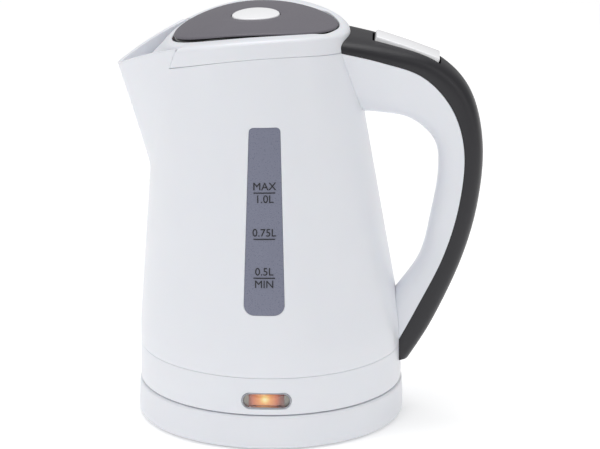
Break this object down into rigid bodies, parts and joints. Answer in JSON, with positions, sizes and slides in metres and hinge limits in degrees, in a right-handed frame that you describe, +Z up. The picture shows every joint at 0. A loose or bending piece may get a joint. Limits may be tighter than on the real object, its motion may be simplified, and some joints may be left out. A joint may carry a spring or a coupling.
{
  "type": "electric kettle",
  "caption": "Cordless electric kettle: tapered jug with spout, hinged push-button lid, loop handle with rocker switch, water window, and a round swivel power base.",
  "frame": {"origin": "on the jug's swivel axis, in the plane that the rubber feet stand on", "axes": "+Z up; +X towards the handle; -X towards the spout; -Y is the side with the water window and the lamp"},
  "size_m": [0.1963, 0.1454, 0.2216],
  "materials": {
    "white_shell": "satin gloss moulded polypropylene",
    "lid_grey": "satin dark grey moulding with a glossy black edge",
    "grip_black": "satin charcoal moulding",
    "smoke_window": "translucent smoke polypropylene",
    "white_button": "glossy moulded plastic",
    "clear_lens": "clear moulded lens",
    "amber_light": "lit amber diffuser",
    "chrome_trim": "bright plated plastic",
    "stainless": "brushed stainless steel",
    "aluminium_cast": "plain aluminium",
    "brass": "bright brass",
    "steel": "zinc plated steel",
    "dark_nylon": "fine matt nylon",
    "pale_nylon": "natural nylon",
    "silicone": "translucent silicone rubber",
    "foot_rubber": "soft dark rubber"
  },
  "bodies": {
    "power_base": {"base_cover": "white_shell", "base_plate": "white_shell", "base_foot_1": "foot_rubber", "base_foot_2": "foot_rubber", "base_foot_3": "foot_rubber", "base_foot_4": "foot_rubber", "base_screw_1": "steel", "base_screw_2": "steel", "base_screw_3": "steel", "base_socket": "dark_nylon", "socket_centre_contact": "brass", "socket_ring_contact": "brass", "socket_terminals": "brass", "cord_gland": "dark_nylon"},
    "jug_plug": {"plug_housing": "dark_nylon", "plug_pin": "brass", "plug_ring": "brass"},
    "jug": {"jug_shell": "white_shell", "water_window": "smoke_window", "collar_ring": "white_shell", "spout_filter": "white_shell", "skirt_cover": "white_shell", "skirt_screw_1": "steel", "skirt_screw_2": "steel", "skirt_screw_3": "steel", "lamp_bezel": "chrome_trim", "lamp_lens": "clear_lens", "lamp_diffuser": "amber_light", "neon_bulb": "amber_light", "lamp_holder": "pale_nylon", "heating_plate": "stainless", "plate_seal": "silicone", "plate_retainer": "pale_nylon", "heat_spreader": "aluminium_cast", "heating_element": "aluminium_cast", "control_body": "dark_nylon", "bimetal_disc_1": "steel", "bimetal_disc_2": "steel", "element_terminal_1": "brass", "element_terminal_2": "brass", "handle_shell": "white_shell", "handle_grip": "grip_black", "steam_switch": "pale_nylon", "steam_bimetal": "steel", "steam_duct": "silicone", "rocker_pin": "steel", "lid_hinge_pin": "steel", "lid_spring": "steel"},
    "lid": {"lid_cover": "lid_grey", "lid_inner": "white_shell", "lid_seal": "silicone", "button_spring": "steel"},
    "button": {"lid_button": "white_button"},
    "front_latch": {"lid_latch_front": "pale_nylon"},
    "back_latch": {"lid_latch_back": "pale_nylon"},
    "switch": {"switch_rocker": "white_button"}
  },
  "joints": [
    {"name": "jug_lift", "type": "slide", "parent": "power_base", "child": "jug_plug", "axis": [0, 0, 1], "range_m": [0, 0.07]},
    {"name": "jug_swivel", "type": "hinge", "parent": "jug_plug", "child": "jug", "pos_m": [0, 0, 0.03], "axis": [0, 0, 1], "continuous": true},
    {"name": "lid_hinge", "type": "hinge", "parent": "jug", "child": "lid", "pos_m": [0.027, 0, 0.2154], "axis": [0, 1, 0], "range_deg": [0, 75]},
    {"name": "lid_button_press", "type": "slide", "parent": "lid", "child": "button", "axis": [0, 0, -1], "range_m": [0, 0.002], "stiffness_N_per_m": 600, "deforming": ["button_spring"]},
    {"name": "front_latch_slide", "type": "slide", "parent": "lid", "child": "front_latch", "axis": [0, 1, 0], "range_m": [0, 0.002]},
    {"name": "back_latch_slide", "type": "slide", "parent": "lid", "child": "back_latch", "axis": [0, -1, 0], "range_m": [0, 0.002]},
    {"name": "switch_rock", "type": "hinge", "parent": "jug", "child": "switch", "pos_m": [0.072, 0, 0.201], "axis": [0, 1, 0], "range_deg": [0, 5]}
  ],
  "couplings": [
    {"joint": "front_latch_slide", "follows": "lid_button_press", "ratio": 1},
    {"joint": "back_latch_slide", "follows": "lid_button_press", "ratio": 1}
  ]
}
